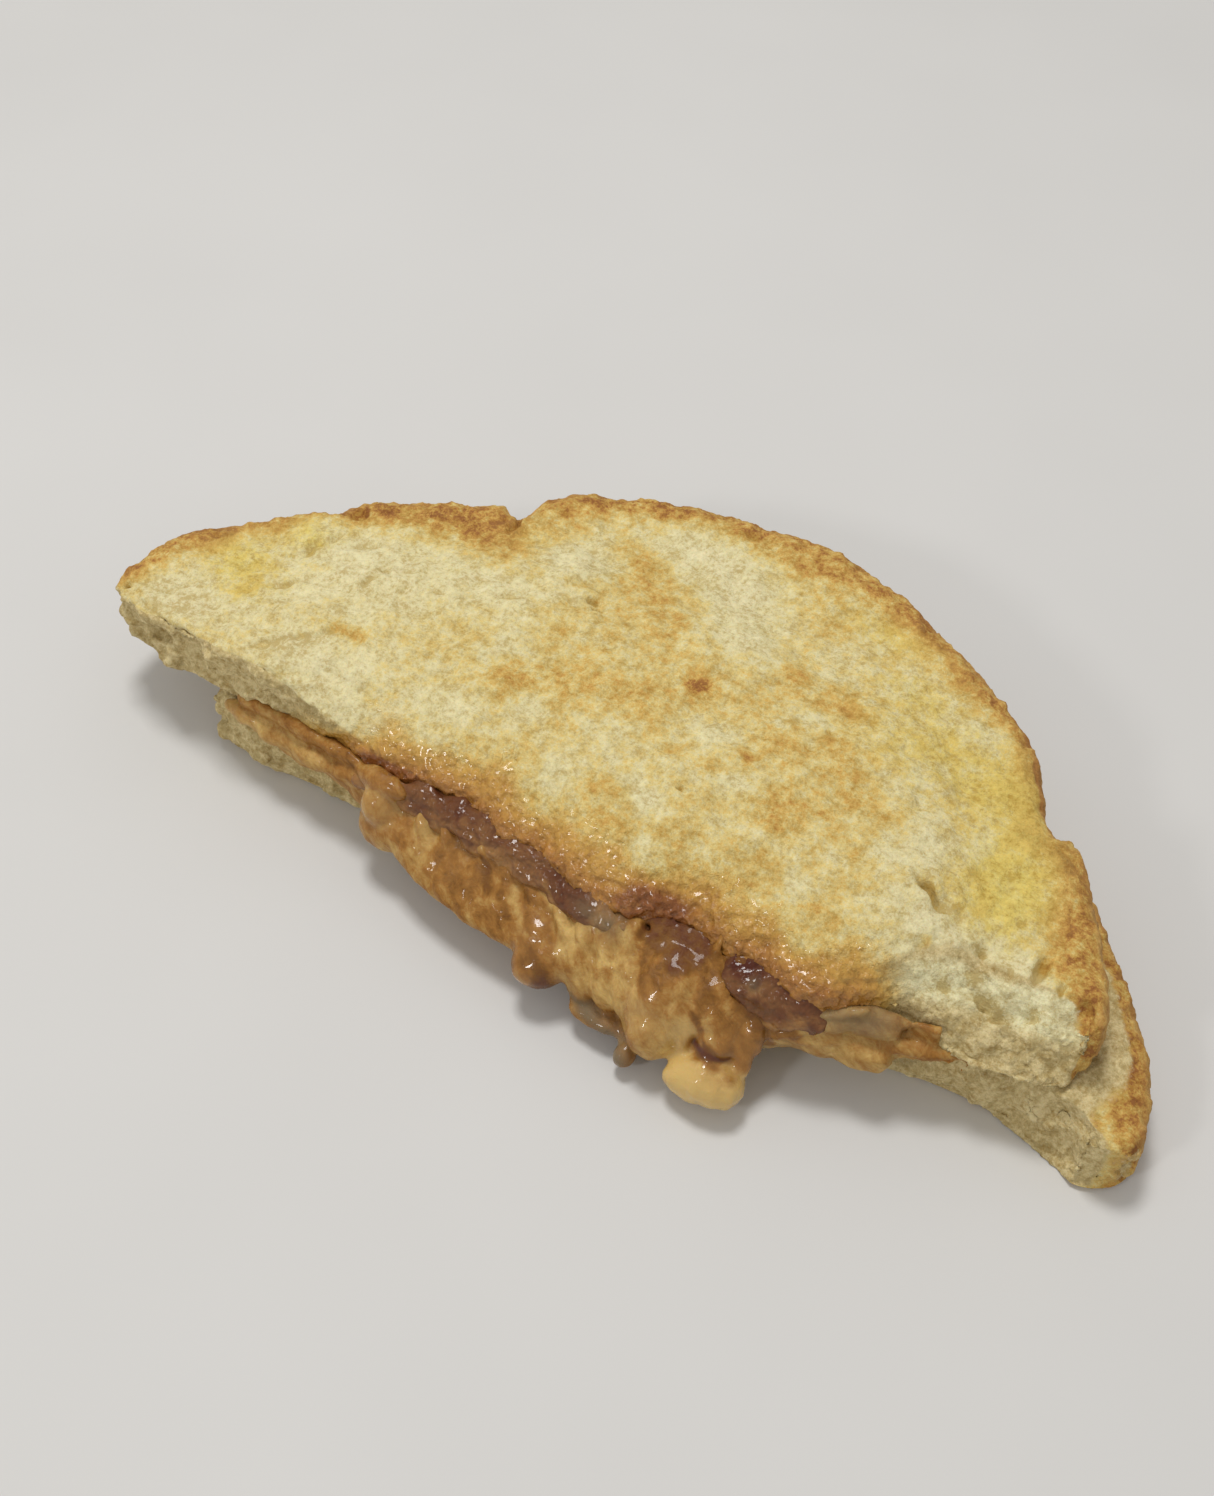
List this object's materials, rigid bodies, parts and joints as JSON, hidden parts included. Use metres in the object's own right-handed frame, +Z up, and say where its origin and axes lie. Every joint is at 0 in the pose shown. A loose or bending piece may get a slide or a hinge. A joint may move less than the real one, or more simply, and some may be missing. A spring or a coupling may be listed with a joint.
{
  "type": "grilled peanut butter and jam sandwich half",
  "caption": "Half of a toasted bread sandwich, cut straight across and lying flat, with melted peanut butter and jam running out of the cut.",
  "frame": {"origin": "middle of the underside's box, on the surface that the sandwich lies on", "axes": "+X along the cut, from the tip where only the upper slice reaches to the end where the lower slice sticks out; +Y from the cut towards the round crust; +Z up"},
  "size_m": [0.173, 0.089, 0.0264],
  "materials": {
    "lower_bread": "toasted white bread, porous pale crumb at the cut, browned crust",
    "upper_bread": "toasted white bread, golden patches, soaked and glossy along the cut",
    "peanut_butter": "melted smooth peanut butter, glossy",
    "jam": "dark red jam, wet gloss"
  },
  "bodies": {
    "root": {"bread_slice_bottom": "lower_bread", "bread_slice_top": "upper_bread", "peanut_butter": "peanut_butter", "jam": "jam"}
  },
  "joints": []
}
